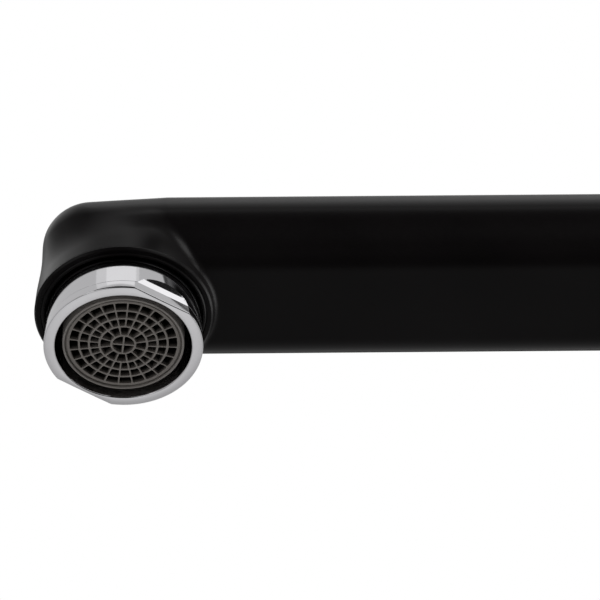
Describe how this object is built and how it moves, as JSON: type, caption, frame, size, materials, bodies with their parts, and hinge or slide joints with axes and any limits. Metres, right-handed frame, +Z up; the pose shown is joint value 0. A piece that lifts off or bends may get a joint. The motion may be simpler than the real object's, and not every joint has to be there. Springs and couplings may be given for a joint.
{
  "type": "kitchen faucet",
  "caption": "Single-lever kitchen faucet with a long flat swivelling spout, a screwed chrome aerator at its end, and an upright round body clamped to the worktop.",
  "frame": {"origin": "middle of the body's round foot, on the worktop", "axes": "+Z up along the body, the spout points to -Y, +X to the right seen from the user's side looking along +Y"},
  "size_m": [0.058, 0.2536, 0.3115],
  "materials": {
    "black_lacquer": "satin",
    "chrome_plate": "polished",
    "grey_plastic": "fine matte",
    "white_plastic": "smooth",
    "rubber": "matte",
    "ceramic": "lapped",
    "brass": "machined",
    "steel": "zinc plated",
    "index_mark": "gloss"
  },
  "bodies": {
    "base": {"faucet_body": "black_lacquer", "base_ring": "black_lacquer", "base_gasket": "rubber", "mounting_stud": "steel", "clamp_gasket": "rubber", "clamp_plate": "steel", "clamp_nut": "brass", "swivel_o_ring_lower": "rubber", "swivel_o_ring_upper": "rubber", "slide_ring_lower": "white_plastic", "slide_ring_upper": "white_plastic", "swivel_stop_pin": "steel", "cartridge_base": "white_plastic", "port_seal_hot": "rubber", "port_seal_cold": "rubber", "port_seal_mixed": "rubber", "fixed_disc": "ceramic", "cartridge_shell": "grey_plastic", "cartridge_nut": "brass", "dome_cover": "black_lacquer"},
    "swivelling_spout": {"spout": "black_lacquer", "aerator_housing": "chrome_plate", "aerator_insert": "grey_plastic", "outlet_grid": "grey_plastic", "jet_plate": "grey_plastic", "inlet_strainer": "grey_plastic", "aerator_gasket": "rubber"},
    "turning_guide": {"stem_guide": "grey_plastic", "stem_pin": "steel"},
    "sliding_disc": {"moving_disc": "ceramic", "disc_carrier": "grey_plastic"},
    "tilting_lever": {"cartridge_stem": "steel", "lever": "black_lacquer", "lever_set_screw": "steel", "index_plug": "index_mark"}
  },
  "joints": [
    {"name": "spout_swivel", "type": "hinge", "parent": "base", "child": "swivelling_spout", "pos_m": [0, 0, 0.16], "axis": [0, 0, 1], "range_deg": [-70, 70]},
    {"name": "lever_turn", "type": "hinge", "parent": "base", "child": "turning_guide", "pos_m": [0, 0, 0.2075], "axis": [0, 0, 1], "range_deg": [-45, 45]},
    {"name": "lever_tilt", "type": "hinge", "parent": "turning_guide", "child": "tilting_lever", "pos_m": [0, 0, 0.2075], "axis": [-1, 0, 0], "range_deg": [0, 25]},
    {"name": "disc_slide", "type": "slide", "parent": "turning_guide", "child": "sliding_disc", "axis": [0, -1, 0], "range_m": [0, 0.0041]}
  ],
  "couplings": [
    {"joint": "disc_slide", "follows": "lever_tilt", "m_per_rad": 0.0092}
  ]
}
